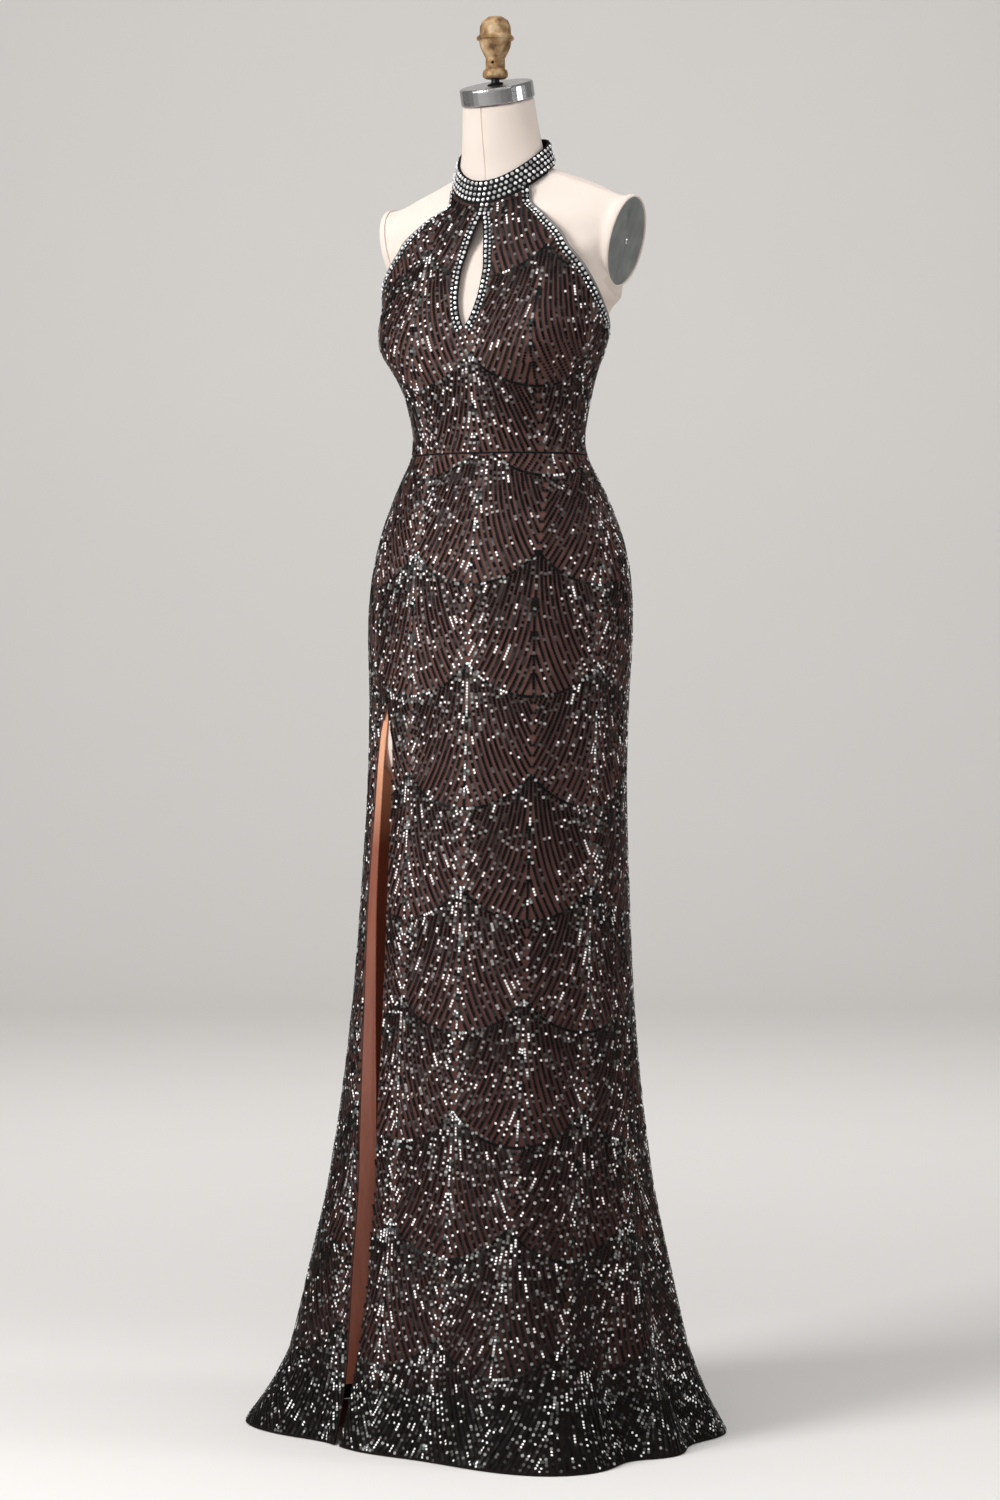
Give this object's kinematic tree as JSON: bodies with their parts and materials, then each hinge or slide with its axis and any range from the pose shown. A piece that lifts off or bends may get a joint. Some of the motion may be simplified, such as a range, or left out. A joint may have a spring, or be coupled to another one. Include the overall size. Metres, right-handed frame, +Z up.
{
  "type": "evening gown on dress form",
  "caption": "Sleeveless floor-length halter evening gown with keyhole front, open back, leg slit and flared hem, worn on a limbless dress form on a pole stand.",
  "frame": {"origin": "the floor under the middle of the stand's pole, at the underside of the foot", "axes": "+Z up, -Y out of the front of the gown, +X towards the wearer's left"},
  "size_m": [0.5644, 0.5432, 1.6974],
  "materials": {
    "sequin_mesh": "black sequin lines over brown mesh",
    "lining": "satin",
    "binding": "matte",
    "linen": "woven",
    "brushed_metal": "brushed",
    "aged_brass": "aged",
    "dark_metal": "satin black"
  },
  "bodies": {
    "gown_on_form": {"skirt_front": "sequin_mesh", "skirt_back_left": "sequin_mesh", "skirt_back_right": "sequin_mesh", "lining_front": "lining", "lining_back": "lining", "bodice_front": "sequin_mesh", "bodice_side_left": "sequin_mesh", "bodice_side_right": "sequin_mesh", "binding_left": "binding", "binding_right": "binding", "collar_band": "sequin_mesh", "collar_button_lower": "sequin_mesh", "collar_button_upper": "sequin_mesh", "form_torso": "linen", "arm_plate_left": "brushed_metal", "arm_screw_left": "brushed_metal", "arm_plate_right": "brushed_metal", "arm_screw_right": "brushed_metal", "neck_cap": "brushed_metal", "finial_stem": "dark_metal", "finial": "aged_brass", "stand_foot": "dark_metal", "stand_pole": "dark_metal", "zip_slider": "dark_metal"},
    "zip_pull": {"zip_tab": "dark_metal"}
  },
  "joints": [
    {"name": "zip_tab_swing", "type": "hinge", "parent": "gown_on_form", "child": "zip_pull", "pos_m": [0, 0.10949, 1.15077], "axis": [1, 0, 0], "range_deg": [0, 165]}
  ]
}
